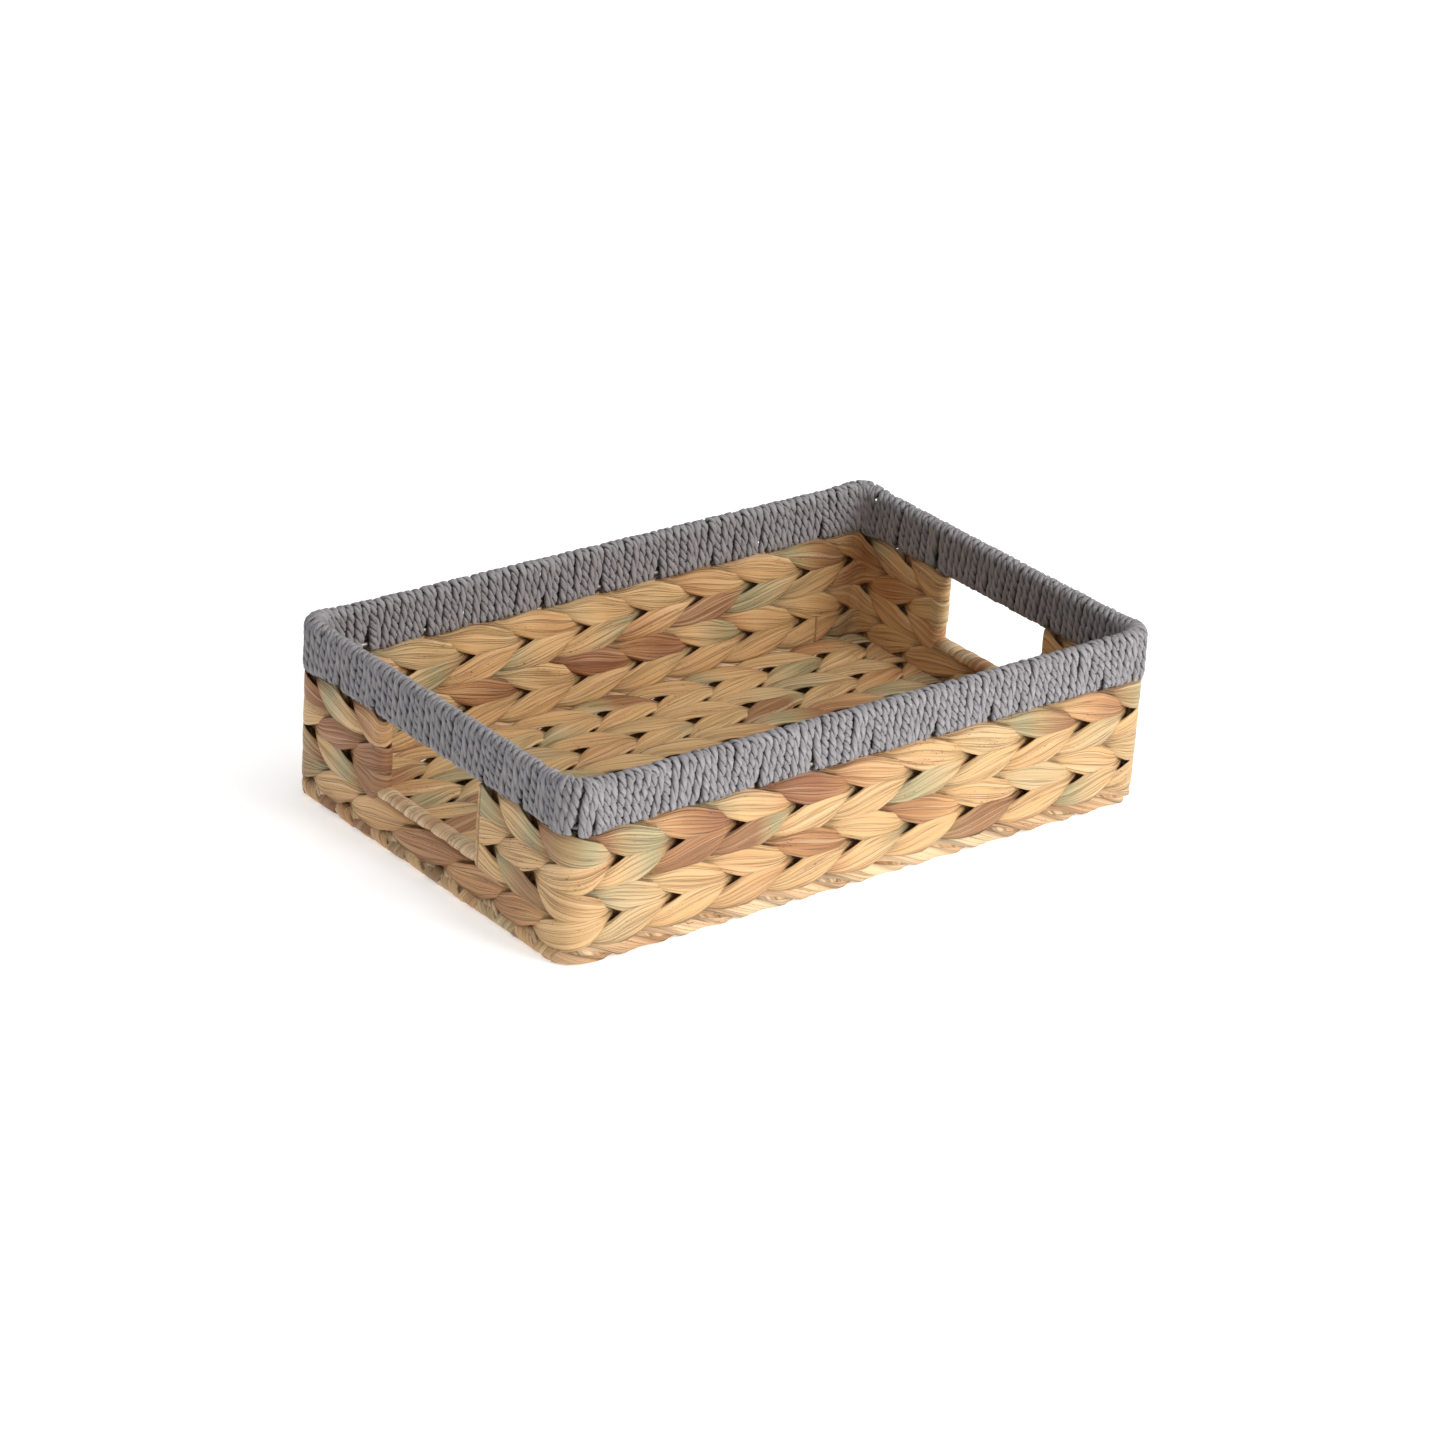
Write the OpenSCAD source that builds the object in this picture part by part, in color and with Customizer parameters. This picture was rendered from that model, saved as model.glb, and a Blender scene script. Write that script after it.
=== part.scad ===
// Hand-woven bread basket.
// Pairs of dried-stem strips are twined round the stakes of a welded wire frame.
// The rim is a double wire wound in twisted cord, the base edge is a wrapped wire,
// and each short wall has a hand opening over a wrapped grip bar.
// Millimetres, +Z up, +X along the long walls.  The origin is the middle of the
// footprint, on the surface that the basket stands on.

/* [Overall] */
// Length over the woven walls
basket_l = 380; // [300:5:460]
// Width over the woven walls
basket_w = 243; // [200:1:300]
// Height from the standing surface to the top of the rim
basket_h = 99; // [85:1:125]
// Radius of the frame's upright corners on the wall's centre line
corner_r = 10; // [8:0.5:14]

/* [Wire frame] */
// Diameter of the two rim wires
rim_wire_d = 4; // [3.5:0.25:5]
// Diameter of the wire round the base
base_wire_d = 4; // [3.5:0.25:5]
// Diameter of the stakes, posts and cross wires
stake_d = 3; // [2.5:0.25:3.25]
// Target distance between the stakes of a long wall, rounded to fit an even number of bays
stake_pitch = 38; // [30:1:46]
// Distance along a long wall between a stake and the cross wire welded beside it
cross_wire_offset = 5; // [4.5:0.5:8]

/* [Weave] */
// Twined rows between the base edge and the rim
wall_rows = 4; // [3:1:5]
// Pairs of twined rows across the base
base_pairs = 7; // [5:1:7]
// Thickness of a weaving strip
strip_t = 3.3; // [2.4:0.1:4]
// Width of a strip where the two strips of a row cross between stakes
crossing_w = 8; // [5:0.5:9]
// Distance between the two strips of a row where they cross
crossing_gap = 2; // [1.6:0.1:3]
// Distance between neighbouring rows
row_gap = 0.7; // [0.4:0.1:0.9]

/* [Rim] */
// Height of the cord-wound rim
rim_band_h = 29; // [22:1:34]
// Thickness of the twisted cord as it lies on the rim
cord_t = 2.3; // [1.8:0.1:3]

/* [Base edge] */
// Thickness of the strip wrapped round the base wire
edge_strip_t = 2.8; // [2.2:0.1:3.4]
// Depth by which the wrapping is pressed flat where it stands
edge_flat = 0.4; // [0.3:0.1:0.6]

// Distance from the standing surface to the underside of the woven base
base_clearance = 0.1; // [0.05:0.05:0.5]

/* [Hand openings] */
// Clear width of a hand opening
opening_w = 84; // [70:1:100]
// Diameter of the wire in the grip bar
grip_wire_d = 3; // [2.5:0.25:4]
// Thickness of the strip wrapped round the grip wire
grip_strip_t = 2; // [1.5:0.1:2.6]

/* [Fit] */
// Clearance between a wire and what is wound or woven round it
fit = 0.2; // [0.15:0.05:0.25]

/* [Hidden] */
$fn = 48;
golden = "#B98F5C";
red_brown = "#94633C";
pale_straw = "#CDB48C";
olive = "#8E8456";
cord_grey = "#8D8D8F";
wire_grey = "#6F6F72";

long_walls = [["front", -90], ["back", 90]];
short_walls = [["left", 180], ["right", 0]];
// Name stem, outward angle of the wall, and side of the wall's own middle that the half lies on
wall_halves = [
    ["left_front_row_", 180, 1],
    ["left_back_row_", 180, -1],
    ["right_front_row_", 0, -1],
    ["right_back_row_", 0, 1]
];

// The wall's centre line is a rounded rectangle that all the wires share
on_stake = stake_d / 2 + fit;
wall_t = 2 * (on_stake + strip_t);
mid_x = (basket_l - wall_t) / 2;
mid_y = (basket_w - wall_t) / 2;
arc_x = mid_x - corner_r;
arc_y = mid_y - corner_r;
corner_reach = corner_r * cos(45);

// Each wall: distance of its centre line from the basket's middle, and where its corner posts stand
long_wall = [mid_y, arc_x + corner_reach];
short_wall = [mid_x, arc_y + corner_reach];

// Stakes
bay_count = 2 * round(basket_l / stake_pitch / 2);
bay = basket_l / bay_count;
long_stakes = [for (i = [1:bay_count - 1]) bay * i - basket_l / 2];
post_place = (opening_w + wall_t) / 2;
side_stake_place = (post_place + short_wall[1]) / 2;
cross_wires = [for (x = long_stakes) x + cross_wire_offset];

// Heights
edge_r = base_wire_d / 2 + fit + edge_strip_t;
base_wire_z = edge_r - edge_flat;
base_mid_z = base_clearance + wall_t / 2;
rim_t = rim_wire_d + 2 * (fit + cord_t);
rim_low = basket_h - rim_band_h;
rim_lower_z = rim_low + rim_t / 2;
rim_upper_z = basket_h - rim_t / 2;
rows_low = base_wire_z + edge_r + row_gap / 2;
row_h = (rim_low - row_gap / 2 - rows_low) / wall_rows;
half_strip = (row_h - row_gap) / 2;
grip_r = grip_wire_d / 2 + fit + grip_strip_t;
grip_z = rows_low + row_h + grip_r;

// Base rows
base_row_pitch = (mid_y - edge_r - fit) / base_pairs;
base_half_strip = (base_row_pitch - row_gap) / 2;

function row_middle(row) = rows_low + row_h * (wall_rows - row + 0.5);
function row_twist(row) = row % 2 == 0 ? 1 : -1;
function row_colour(row) = row == 1 ? golden : row == 2 ? red_brown : row == 3 ? pale_straw : olive;

// ---- Twined rows -------------------------------------------------------------
// A row is worked out beside its own wall: X points out of the wall, Y runs along it
// to the right as seen from outside, and Z is up, from the row's middle.

// A station is a point of the row's axis, the direction out of the wall there, and how far
// from the axis a strip lies when it passes a stake.

// A strip's section, given as depths and heights, stood at a station
function placed(section, station) =
    [for (p = section) [station[0][0] + p[0] * station[1][0], station[0][1] + p[0] * station[1][1], p[1]]];

// The ring of four points round a strip after a number of quarter turns about the row's axis.
// On an even quarter the strip lies flat on a stake, on an odd one it crosses its partner.
function strip_ring(quarter, half_h, station) =
    let (
        crossing = quarter % 2 != 0,
        near = crossing ? crossing_gap / 2 : station[2],
        side = crossing ? crossing_w / 2 : half_h,
        flat = [[near, -side], [near, side], [near + strip_t, side], [near + strip_t, -side]],
        turned = [for (p = flat) [p[0] * cos(90 * quarter) - p[1] * sin(90 * quarter),
                                  p[0] * sin(90 * quarter) + p[1] * cos(90 * quarter)]]
    )
    placed(turned, station);

// The same ring taken round the other way, for a strip that runs back along its row
function turned_back(ring) = [ring[1], ring[0], ring[3], ring[2]];

// Places with a further one half way between each two
function with_midpoints(places) =
    [for (i = [0:2 * len(places) - 2]) (places[floor(i / 2)] + places[ceil(i / 2)]) / 2];

// The middle of a corner's arc, where the corner post stands.  The strips cut the corner on
// their way to it, so they pass the post at a greater distance than they pass a stake.
function corner_station(end, wall) =
    [[wall[0] - corner_r + corner_reach, end * wall[1]], [cos(45), end * sin(45)], on_stake / cos(45)];

function straight_station(place, centre_line) = [[centre_line, place], [1, 0], on_stake];

// Stations at the stakes and half way between them.  wall holds the distance of the wall's
// centre line from the basket's middle and the place of its corner posts along it.
function stations(stops, wall) =
    [for (place = with_midpoints(stops))
        abs(place) == wall[1] ? corner_station(sign(place), wall) : straight_station(place, wall[0])];

// A closed solid through rings of four points.  Each side between two rings folds along the
// diagonal that bulges away from the row's axis, which depends on the way the row is twisted.
module strip_through(rings, twist) {
    last = 4 * (len(rings) - 1);
    polyhedron(
        points = [for (ring = rings) each ring],
        faces = concat(
            [[0, 1, 2, 3], [last + 3, last + 2, last + 1, last]],
            [for (start = [0:4:last - 4], k = [0:3])
                let (a = start + k, b = start + (k + 1) % 4, back_fold = (twist > 0) == (k < 2))
                each back_fold ? [[a, a + 4, b], [b, a + 4, b + 4]] : [[a, b + 4, b], [a, a + 4, b + 4]]]
        )
    );
}

// The two strips of a row that passes all its stakes, and the quarters on which they start
module twined_pair(path, twist, half_h, starts = [0, 2]) {
    for (first_quarter = starts)
        strip_through([for (i = [0:len(path) - 1])
            strip_ring(first_quarter + twist * i, half_h, path[i])], twist);
}

// One strip that comes along the wall, turns round the opening's post and goes back.
// Its fold round the post reaches from low to high, so that it clears the grip wire.
module turning_strip(path, twist, half_h, low, high) {
    last = len(path) - 1;
    far = on_stake + strip_t;
    fold = [[on_stake, low], [on_stake, high], [far, high], [far, low]];
    strip_through(concat(
        [for (i = [0:last - 1]) strip_ring(twist * i, half_h, path[i])],
        [for (turn = [0:45:180]) placed(fold, [path[last][0], [cos(turn), sin(turn)]])],
        [for (i = [last - 1:-1:0]) turned_back(strip_ring(2 + twist * i, half_h, path[i]))]
    ), twist);
}

module long_row(angle, row) {
    stops = concat([-long_wall[1]], long_stakes, [long_wall[1]]);
    color(row_colour(row))
        rotate(angle) translate([0, 0, row_middle(row)])
            twined_pair(stations(stops, long_wall), row_twist(row), half_strip);
}

module short_row(angle, row) {
    near_half = [-short_wall[1], -side_stake_place, -post_place];
    far_half = [post_place, side_stake_place, short_wall[1]];
    color(row_colour(row))
        rotate(angle) translate([0, 0, row_middle(row)])
            twined_pair(stations(concat(near_half, [0], far_half), short_wall), row_twist(row), half_strip);
}

// Half a row, between a corner and the opening.  Turning it over about the way out of the
// wall makes the half on the other side of the opening and keeps its twist.
module half_row(angle, side, row) {
    stops = [-short_wall[1], -side_stake_place, -post_place];
    fold_low = max(-half_strip, grip_z + grip_wire_d / 2 + fit - row_middle(row));
    turned_over = side > 0;
    color(row_colour(row))
        rotate(angle) translate([0, 0, row_middle(row)]) rotate([turned_over ? 180 : 0, 0, 0])
            turning_strip(stations(stops, short_wall), row_twist(row), half_strip,
                          turned_over ? -half_strip : fold_low, turned_over ? -fold_low : half_strip);
}

// Where a base row ends beside the wrapped base edge, whose corner it may meet first
function base_row_end(far_side) =
    let (past_arc = far_side - arc_y, hollow = corner_r - edge_r - fit)
    past_arc <= 0 ? mid_x - edge_r - fit : arc_x + sqrt(max(0, hollow * hollow - past_arc * past_arc));

// A base row lies down: its outward side turns up and its height runs across the base
module base_row(place, twist) {
    row_end = base_row_end(abs(place) + crossing_gap / 2 + strip_t);
    crossings = with_midpoints(cross_wires);
    path = [for (x = concat([-row_end], crossings, [row_end])) straight_station(x, 0)];
    translate([0, place, base_mid_z]) rotate([-90, -90, 0])
        twined_pair(path, twist, base_half_strip, [1, 3]);
}

module base_pair(pair) {
    place = base_row_pitch * (2 * pair - base_pairs - 1);
    color(pair % 2 == 0 ? olive : golden) {
        base_row(place - base_row_pitch / 2, 1);
        base_row(place + base_row_pitch / 2, -1);
    }
}

// ---- Wire frame --------------------------------------------------------------

// A closed loop of wire on the wall's centre line
module wire_loop(diameter, height) {
    translate([0, 0, height])
        for (end = [0, 180]) rotate(end) {
            translate([mid_x, 0, 0]) rotate([90, 0, 0]) cylinder(d = diameter, h = 2 * arc_y, center = true);
            translate([0, mid_y, 0]) rotate([0, 90, 0]) cylinder(d = diameter, h = 2 * arc_x, center = true);
            translate([arc_x, arc_y, 0]) wire_bend(diameter);
            translate([arc_x, -arc_y, 0]) rotate(-90) wire_bend(diameter);
        }
}

module wire_bend(diameter) {
    rotate_extrude(angle = 90) translate([corner_r, 0]) circle(d = diameter);
}

// A cut-to-length upright wire
module upright(diameter, low, high) {
    translate([0, 0, low]) cylinder(d = diameter, h = high - low);
}

module stake(low = base_wire_z + base_wire_d / 2, high = rim_lower_z - rim_wire_d / 2) {
    upright(stake_d, low, high);
}

// What stands at each place along a wall, beside the wall's own frame of axes
module along_wall(angle, centre_line, places) {
    rotate(angle)
        for (place = places) translate([centre_line, place, 0]) children();
}

module at_corners() {
    for (x = [-1, 1], y = [-1, 1])
        translate([x * (arc_x + corner_reach), y * (arc_y + corner_reach), 0]) children();
}

module rim_upper_wire() {
    color(wire_grey) wire_loop(rim_wire_d, rim_upper_z);
}

module rim_lower_wire() {
    color(wire_grey) wire_loop(rim_wire_d, rim_lower_z);
}

// Short wires that hold the two rim wires apart against the pull of the cord
module rim_spacers() {
    low = rim_lower_z + rim_wire_d / 2;
    high = rim_upper_z - rim_wire_d / 2;
    color(wire_grey) {
        at_corners() upright(stake_d, low, high);
        for (wall = short_walls)
            along_wall(wall[1], mid_x, [-post_place, post_place]) upright(stake_d, low, high);
    }
}

module base_wire() {
    color(wire_grey) wire_loop(base_wire_d, base_wire_z);
}

module base_cross_wires() {
    reach = mid_y - base_wire_d / 2;
    color(wire_grey)
        for (x = cross_wires) translate([x, 0, base_mid_z]) rotate([90, 0, 0])
            cylinder(d = stake_d, h = 2 * reach, center = true);
}

module corner_posts() {
    color(wire_grey) at_corners() stake();
}

module long_wall_stakes(angle) {
    color(wire_grey) along_wall(angle, mid_y, long_stakes) stake();
}

// The middle stake of a short wall stops under the grip wire
module short_wall_stakes(angle) {
    color(wire_grey) {
        along_wall(angle, mid_x, [-side_stake_place, side_stake_place]) stake();
        along_wall(angle, mid_x, [0]) stake(high = grip_z - grip_wire_d / 2);
    }
}

module opening_posts() {
    color(wire_grey) for (wall = short_walls) along_wall(wall[1], mid_x, [-post_place, post_place]) stake();
}

module grip_wire(angle) {
    color(wire_grey) rotate(angle) translate([mid_x, 0, grip_z]) rotate([90, 0, 0])
        cylinder(d = grip_wire_d, h = 2 * post_place - stake_d, center = true);
}

// ---- Wrappings ---------------------------------------------------------------

module grip_wrap(angle) {
    color(pale_straw) rotate(angle)
        difference() {
            translate([mid_x, 0, grip_z]) rotate([90, 0, 0]) difference() {
                cylinder(r = grip_r, h = opening_w - 2 * fit, center = true);
                cylinder(d = grip_wire_d + 2 * fit, h = opening_w, center = true);
            }
            translate([mid_x, 0, 0]) upright(max(stake_d, grip_wire_d) + 4 * fit, rows_low, grip_z);
        }
}

// Section of the cord winding: it goes round both rim wires and is hollow between them
module rim_section() {
    hollow_w = rim_wire_d + 2 * fit;
    between = rim_upper_z - rim_lower_z;
    difference() {
        upright_slot(rim_t, between);
        upright_slot(hollow_w, between);
    }
}

// A slot of a given width whose round ends have their centres a given distance apart
module upright_slot(width, between) {
    square([width, between], center = true);
    for (end = [-0.5, 0.5]) translate([0, end * between]) circle(d = width);
}

// Section of the base wire's wrapping, pressed flat underneath
module edge_section() {
    difference() {
        circle(r = edge_r);
        circle(d = base_wire_d + 2 * fit);
        translate([-edge_r, -edge_r - base_wire_z]) square([2 * edge_r, edge_r]);
    }
}

// A straight length of a section along a wall, from corner to corner
module straight_wrap(angle, centre_line, length, height) {
    rotate(angle) translate([centre_line, 0, height]) rotate([90, 0, 0])
        linear_extrude(length, center = true) children();
}

module corner_wrap(turn, height) {
    rotate(turn) translate([turn % 180 == 0 ? arc_x : arc_y, turn % 180 == 0 ? arc_y : arc_x, height])
        rotate_extrude(angle = 90) translate([corner_r, 0]) children();
}

// Holes that the stakes pass through
module stake_holes(angle, centre_line, places, low, high) {
    along_wall(angle, centre_line, places) upright(stake_d + 2 * fit, low, high);
}

module rim_wrap(angle, centre_line, length, places) {
    color(cord_grey)
        difference() {
            straight_wrap(angle, centre_line, length, (rim_lower_z + rim_upper_z) / 2) rim_section();
            stake_holes(angle, centre_line, places, rim_low - rim_t, rim_lower_z);
        }
}

module rim_wrap_corners() {
    color(cord_grey)
        difference() {
            for (turn = [0:90:270]) corner_wrap(turn, (rim_lower_z + rim_upper_z) / 2) rim_section();
            at_corners() upright(stake_d + 2 * fit, rim_low - rim_t, rim_lower_z);
        }
}

module base_edge_wrap(angle, centre_line, length, places) {
    color(golden)
        difference() {
            straight_wrap(angle, centre_line, length, base_wire_z) edge_section();
            stake_holes(angle, centre_line, places, base_wire_z, rows_low);
        }
}

// A long base edge also lets the cross wires through its inner side
module long_base_edge_wrap(angle) {
    color(golden)
        difference() {
            base_edge_wrap(angle, mid_y, 2 * arc_x, long_stakes);
            for (x = cross_wires) translate([x, 0, base_mid_z]) rotate([90, 0, 0])
                cylinder(d = stake_d + 2 * fit, h = 2 * (mid_y - base_wire_d / 2), center = true);
        }
}

module base_edge_wrap_corners() {
    color(golden)
        difference() {
            for (turn = [0:90:270]) corner_wrap(turn, base_wire_z) edge_section();
            at_corners() upright(stake_d + 2 * fit, base_wire_z, rows_low);
        }
}

// ---- Nodes -------------------------------------------------------------------

short_places = [-post_place, -side_stake_place, side_stake_place, post_place];
short_base_places = concat(short_places, [0]);

rim_upper_wire();
rim_lower_wire();
rim_spacers();
base_wire();
base_cross_wires();
corner_posts();
long_wall_stakes(-90);  // front_stakes
long_wall_stakes(90);  // back_stakes
short_wall_stakes(180);  // left_stakes
short_wall_stakes(0);  // right_stakes
opening_posts();
grip_wire(180);  // left_grip_wire
grip_wire(0);  // right_grip_wire
grip_wrap(180);  // left_grip_wrap
grip_wrap(0);  // right_grip_wrap
rim_wrap(-90, mid_y, 2 * arc_x, long_stakes);  // rim_wrap_front
rim_wrap(90, mid_y, 2 * arc_x, long_stakes);  // rim_wrap_back
rim_wrap(180, mid_x, 2 * arc_y, short_places);  // rim_wrap_left
rim_wrap(0, mid_x, 2 * arc_y, short_places);  // rim_wrap_right
rim_wrap_corners();
long_base_edge_wrap(-90);  // base_edge_wrap_front
long_base_edge_wrap(90);  // base_edge_wrap_back
base_edge_wrap(180, mid_x, 2 * arc_y, short_base_places);  // base_edge_wrap_left
base_edge_wrap(0, mid_x, 2 * arc_y, short_base_places);  // base_edge_wrap_right
base_edge_wrap_corners();
for (wall = long_walls, row = [1:wall_rows])
    long_row(wall[1], row);
for (half = wall_halves, row = [1:wall_rows - 1])
    half_row(half[1], half[2], row);
for (wall = short_walls)
    short_row(wall[1], wall_rows);
for (pair = [1:base_pairs])
    base_pair(pair);
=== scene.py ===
"""A bread basket: twined strips on a wire frame, a rim band wound with paper cord, two hand openings."""

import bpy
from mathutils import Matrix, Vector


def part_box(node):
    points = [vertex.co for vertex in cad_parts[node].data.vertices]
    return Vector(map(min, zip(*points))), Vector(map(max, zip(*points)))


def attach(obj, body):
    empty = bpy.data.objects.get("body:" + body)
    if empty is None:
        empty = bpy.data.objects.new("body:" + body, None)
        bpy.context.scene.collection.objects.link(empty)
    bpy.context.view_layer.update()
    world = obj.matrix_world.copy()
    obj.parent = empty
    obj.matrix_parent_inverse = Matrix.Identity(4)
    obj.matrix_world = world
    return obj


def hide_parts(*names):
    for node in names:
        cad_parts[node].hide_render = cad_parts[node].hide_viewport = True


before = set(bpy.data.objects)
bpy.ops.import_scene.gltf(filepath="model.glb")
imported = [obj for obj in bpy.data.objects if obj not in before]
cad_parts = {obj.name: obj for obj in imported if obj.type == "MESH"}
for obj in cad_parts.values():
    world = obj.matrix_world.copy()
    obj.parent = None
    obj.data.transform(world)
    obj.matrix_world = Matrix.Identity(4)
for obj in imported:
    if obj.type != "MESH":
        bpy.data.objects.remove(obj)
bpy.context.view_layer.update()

import ast
import logging
import math
from dataclasses import dataclass, field, fields, replace
from enum import Enum

import bpy
import numpy as np
from mathutils import Matrix, Vector

MM = 0.001
ROOT = "root"
FLOOR_LIFT = 0.3 * MM
FLOOR_GIVE = 0.03  # what is left of a strip's depth below the floor once it is pressed flat
LOG = logging.getLogger("bread_basket")


# ---------------------------------------------------------------- colours and nodes


def linear(shade: str) -> tuple[float, float, float, float]:
    """Turn an sRGB hex colour into the linear one that a socket takes.

    Args:
        shade: the colour as "#RRGGBB".

    Returns:
        Linear red, green, blue and an alpha of 1.
    """
    parts = [int(shade[i:i + 2], 16) / 255 for i in (1, 3, 5)]
    return (*[c / 12.92 if c <= 0.04045 else ((c + 0.055) / 1.055) ** 2.4 for c in parts], 1.0)


def add(tree: bpy.types.NodeTree, kind: str, links: dict | None = None,
        **settings: object) -> bpy.types.Node:
    """Add one node to a tree.

    Args:
        tree: the tree that gets the node.
        kind: the node's type name.
        links: input name or number to the socket or value that it takes.
        settings: the node's own properties.

    Returns:
        The new node.
    """
    node = tree.nodes.new(kind)
    for name, value in settings.items():
        setattr(node, name, value)
    for name, value in (links or {}).items():
        if isinstance(value, bpy.types.NodeSocket):
            tree.links.new(value, node.inputs[name])
        else:
            node.inputs[name].default_value = value
    return node


class Arithmetic:
    """Turns written sums into linked nodes of one tree; its names stand for sockets or numbers."""

    PLAIN = {ast.Add: "ADD", ast.Sub: "SUBTRACT", ast.Mult: "MULTIPLY", ast.Div: "DIVIDE", ast.Pow: "POWER"}
    CALLS = {"sin": "SINE", "cos": "COSINE", "abs": "ABSOLUTE", "sign": "SIGN", "min": "MINIMUM",
             "max": "MAXIMUM", "atan2": "ARCTAN2", "cross": "CROSS_PRODUCT"}

    def __init__(self, tree: bpy.types.NodeTree, **names: bpy.types.NodeSocket | float) -> None:
        """Keep the tree and the named sockets or numbers."""
        self.tree = tree
        self.names = dict(names)

    def let(self, **sums: str) -> None:
        """Work out each written sum in order and keep it under its name."""
        for name, text in sums.items():
            self.names[name] = self._step(ast.parse(text).body[0].value)

    def __getitem__(self, name: str) -> bpy.types.NodeSocket:
        """The socket kept under a name."""
        return self.names[name]

    def _step(self, part: ast.expr) -> bpy.types.NodeSocket | float:
        """Make the nodes for one part of a sum.

        Args:
            part: the parsed part.

        Returns:
            A number, or the socket that gives the part's value.
        """
        if isinstance(part, ast.Constant):
            return float(part.value)
        if isinstance(part, ast.Name):
            return self.names[part.id]
        if isinstance(part, ast.UnaryOp):
            return self._join("MULTIPLY", [self._step(part.operand), -1.0])
        if isinstance(part, ast.BinOp):
            return self._join(self.PLAIN[type(part.op)], [self._step(part.left), self._step(part.right)])
        call, values = part.func.id, [self._step(a) for a in part.args]
        if call == "vector":
            return add(self.tree, "ShaderNodeCombineXYZ", dict(enumerate(values))).outputs[0]
        if call == "noise":
            entry, space = ("Vector", "3D") if values[0].type == "VECTOR" else ("W", "1D")
            return add(self.tree, "ShaderNodeTexNoise", {entry: values[0], "Scale": 1.0, "Detail": 1.0},
                       noise_dimensions=space).outputs[0]
        return self._join(self.CALLS[call], values)

    def _join(self, operation: str, values: list) -> bpy.types.NodeSocket:
        """Add the math node for one operation, on vectors where a value is one.

        Args:
            operation: the math node's operation.
            values: the sockets or numbers that it works on.

        Returns:
            The node's output socket.
        """
        arrows = [isinstance(v, bpy.types.NodeSocket) and v.type == "VECTOR" for v in values]
        if any(arrows) and not all(arrows):
            arrow, number = values if arrows[0] else values[::-1]
            return add(self.tree, "ShaderNodeVectorMath", {0: arrow, "Scale": number},
                       operation="SCALE").outputs[0]
        kind = "ShaderNodeVectorMath" if all(arrows) else "ShaderNodeMath"
        return add(self.tree, kind, dict(enumerate(values)), operation=operation).outputs[0]


# ---------------------------------------------------------------- finishes


class Finish:
    """A material built from nodes, made once and shared by the pieces that wear it."""

    name = ""

    def build(self) -> bpy.types.Material:
        """The material of this finish, made on first use.

        Returns:
            The material that every piece with this finish wears.
        """
        made = bpy.data.materials.get(self.name)
        if made:
            return made
        made = bpy.data.materials.new(self.name)
        made.use_nodes = True
        made.node_tree.nodes.clear()
        self.dress(made.node_tree)
        return made

    def dress(self, tree: bpy.types.NodeTree) -> None:
        """Fill the material's tree; each finish has its own."""
        raise NotImplementedError

    def grain(self, tree: bpy.types.NodeTree, across_mm: float, run_mm: float, detail: float,
              roughness: float = 0.6) -> bpy.types.NodeSocket:
        """Noise drawn out along the fibres of a strip or a ply.

        Args:
            tree: the material's tree.
            across_mm: its size across the fibres.
            run_mm: its size along them.
            detail: how many finer layers it holds.
            roughness: how strong the finer layers are.

        Returns:
            The noise's value.
        """
        fibre = add(tree, "ShaderNodeAttribute", attribute_name="fibre").outputs["Vector"]
        lie = add(tree, "ShaderNodeMapping",
                  {"Vector": fibre, "Scale": (1 / run_mm, 1 / across_mm, 1.0)}).outputs[0]
        return add(tree, "ShaderNodeTexNoise",
                   {"Vector": lie, "Scale": 1.0, "Detail": detail, "Roughness": roughness}).outputs[0]

    def tint(self, sums: Arithmetic, colour: bpy.types.NodeSocket | tuple,
             tints: dict[str, str]) -> bpy.types.NodeSocket:
        """Lay tints over a colour, each as strongly as the sum of its name.

        Args:
            sums: the material's sums.
            colour: the colour, or the socket that gives it.
            tints: each sum's name and its tint.

        Returns:
            The socket of the tinted colour.
        """
        for amount, shade in tints.items():
            colour = add(sums.tree, "ShaderNodeMix", {0: sums[amount], 6: colour, 7: linear(shade)},
                         data_type="RGBA").outputs[2]
        return colour

    def coat(self, tree: bpy.types.NodeTree, relief: tuple, inputs: dict) -> None:
        """Give the material its bump and its shader.

        Args:
            tree: the material's tree.
            relief: the bump's height socket, strength and depth.
            inputs: the shader's other inputs.
        """
        bump = add(tree, "ShaderNodeBump", dict(zip(("Height", "Strength", "Distance"), relief)))
        skin = add(tree, "ShaderNodeBsdfPrincipled", {"Normal": bump.outputs[0], **inputs})
        add(tree, "ShaderNodeOutputMaterial", {"Surface": skin.outputs[0]})


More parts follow.
